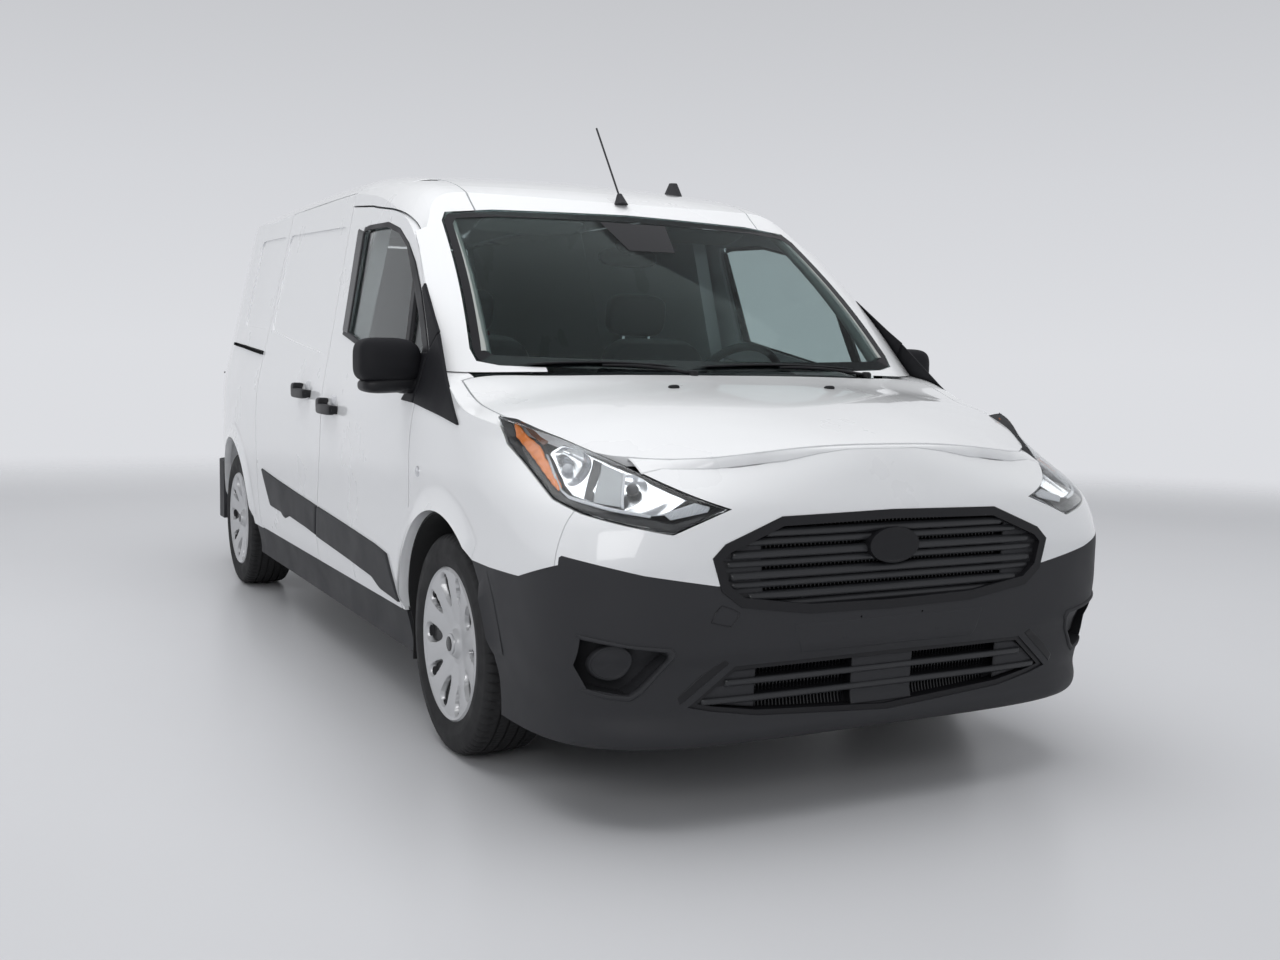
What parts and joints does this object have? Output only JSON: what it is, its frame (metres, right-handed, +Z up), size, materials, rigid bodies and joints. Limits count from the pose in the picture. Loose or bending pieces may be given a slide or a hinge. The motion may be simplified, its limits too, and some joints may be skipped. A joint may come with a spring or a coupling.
{
  "type": "compact panel van",
  "caption": "Compact long-wheelbase panel van with steered front wheels, four rolling wheels, opening cab doors, twin rear doors and hood.",
  "frame": {"origin": "on the ground under the middle of the van's length, on its centreline", "axes": "+X to the vehicle's left, +Y to its rear, +Z up"},
  "size_m": [2.136, 4.8269, 1.9878],
  "materials": {
    "paint": "white solid gloss paint",
    "trim": "grained dark grey plastic",
    "lamp": "clear lens",
    "gloss_black": "black semi-gloss plastic",
    "red_lens": "red lens",
    "side_glass": "lightly tinted",
    "screen_glass": "lightly tinted laminated",
    "tyre": "black rubber",
    "wheel_silver": "silver lacquer",
    "cast": "cast",
    "steel": "black chassis paint",
    "alloy": "dark core",
    "liner": "black moulded felt and plastic",
    "floor": "floor paint and mat",
    "dash": "soft grained plastic",
    "seat": "dark woven cloth",
    "exhaust_steel": "dull stainless"
  },
  "bodies": {
    "body": {"antenna": "trim", "arch_liners": "liner", "cab_floor": "floor", "cargo_floor": "floor", "cowl": "trim", "dashboard": "dash", "door_surrounds": "paint", "engine_block": "cast", "exhaust": "exhaust_steel", "fender_left": "paint", "fender_right": "paint", "fog_panels": "trim", "front_bumper": "trim", "front_fascia": "paint", "front_structure": "steel", "front_subframe": "steel", "fuel_tank": "liner", "grille": "gloss_black", "headlamps": "lamp", "lower_grille": "gloss_black", "mud_flaps": "liner", "radiator": "alloy", "rear_axle": "steel", "rear_bumper": "trim", "roof_panel": "paint", "seats": "seat", "side_wall_left": "paint", "side_wall_right": "paint", "sills": "trim", "sliding_door_left": "paint", "sliding_door_right": "paint", "steering_wheel": "dash", "tail_lamps": "red_lens", "windscreen": "screen_glass"},
    "front_door_right": {"front_door_right": "paint", "door_glass_right": "side_glass", "mirror_right": "trim"},
    "front_door_left": {"front_door_left": "paint", "door_glass_left": "side_glass", "mirror_left": "trim"},
    "rear_door_right": {"rear_door_right": "paint"},
    "rear_door_left": {"rear_door_left": "paint"},
    "hood": {"hood": "paint"},
    "knuckle_right": {"knuckle_right": "cast"},
    "knuckle_left": {"knuckle_left": "cast"},
    "wheel_front_right": {"tyre_front_right": "tyre", "wheel_front_right": "wheel_silver"},
    "wheel_front_left": {"tyre_front_left": "tyre", "wheel_front_left": "wheel_silver"},
    "wheel_rear_right": {"tyre_rear_right": "tyre", "wheel_rear_right": "wheel_silver"},
    "wheel_rear_left": {"tyre_rear_left": "tyre", "wheel_rear_left": "wheel_silver"}
  },
  "joints": [
    {"name": "front_door_right_hinge", "type": "hinge", "parent": "body", "child": "front_door_right", "pos_m": [-0.92, -1.297, 0.8], "axis": [0, 0, 1], "range_deg": [0, 65]},
    {"name": "front_door_left_hinge", "type": "hinge", "parent": "body", "child": "front_door_left", "pos_m": [0.92, -1.297, 0.8], "axis": [0, 0, -1], "range_deg": [0, 65]},
    {"name": "rear_door_right_hinge", "type": "hinge", "parent": "body", "child": "rear_door_right", "pos_m": [-0.686, 2.4035, 1.1], "axis": [0, 0, 1], "range_deg": [0, 180]},
    {"name": "rear_door_left_hinge", "type": "hinge", "parent": "body", "child": "rear_door_left", "pos_m": [0.686, 2.4035, 1.1], "axis": [0, 0, -1], "range_deg": [0, 180]},
    {"name": "hood_hinge", "type": "hinge", "parent": "body", "child": "hood", "pos_m": [0, -1.446, 1.118], "axis": [-1, 0, 0], "range_deg": [0, 55]},
    {"name": "steer_right", "type": "hinge", "parent": "body", "child": "knuckle_right", "pos_m": [-0.7, -1.506, 0.321], "axis": [0.225, 0, 0.9744], "range_deg": [-32, 32]},
    {"name": "steer_left", "type": "hinge", "parent": "body", "child": "knuckle_left", "pos_m": [0.7, -1.506, 0.321], "axis": [-0.225, 0, 0.9744], "range_deg": [-32, 32]},
    {"name": "spin_front_right", "type": "hinge", "parent": "knuckle_right", "child": "wheel_front_right", "pos_m": [-0.785, -1.506, 0.321], "axis": [-1, 0, 0], "continuous": true},
    {"name": "spin_front_left", "type": "hinge", "parent": "knuckle_left", "child": "wheel_front_left", "pos_m": [0.785, -1.506, 0.321], "axis": [-1, 0, 0], "continuous": true},
    {"name": "spin_rear_right", "type": "hinge", "parent": "body", "child": "wheel_rear_right", "pos_m": [-0.785, 1.556, 0.321], "axis": [-1, 0, 0], "continuous": true},
    {"name": "spin_rear_left", "type": "hinge", "parent": "body", "child": "wheel_rear_left", "pos_m": [0.785, 1.556, 0.321], "axis": [-1, 0, 0], "continuous": true}
  ],
  "couplings": [
    {"joint": "steer_right", "follows": "steer_left", "ratio": 1}
  ]
}
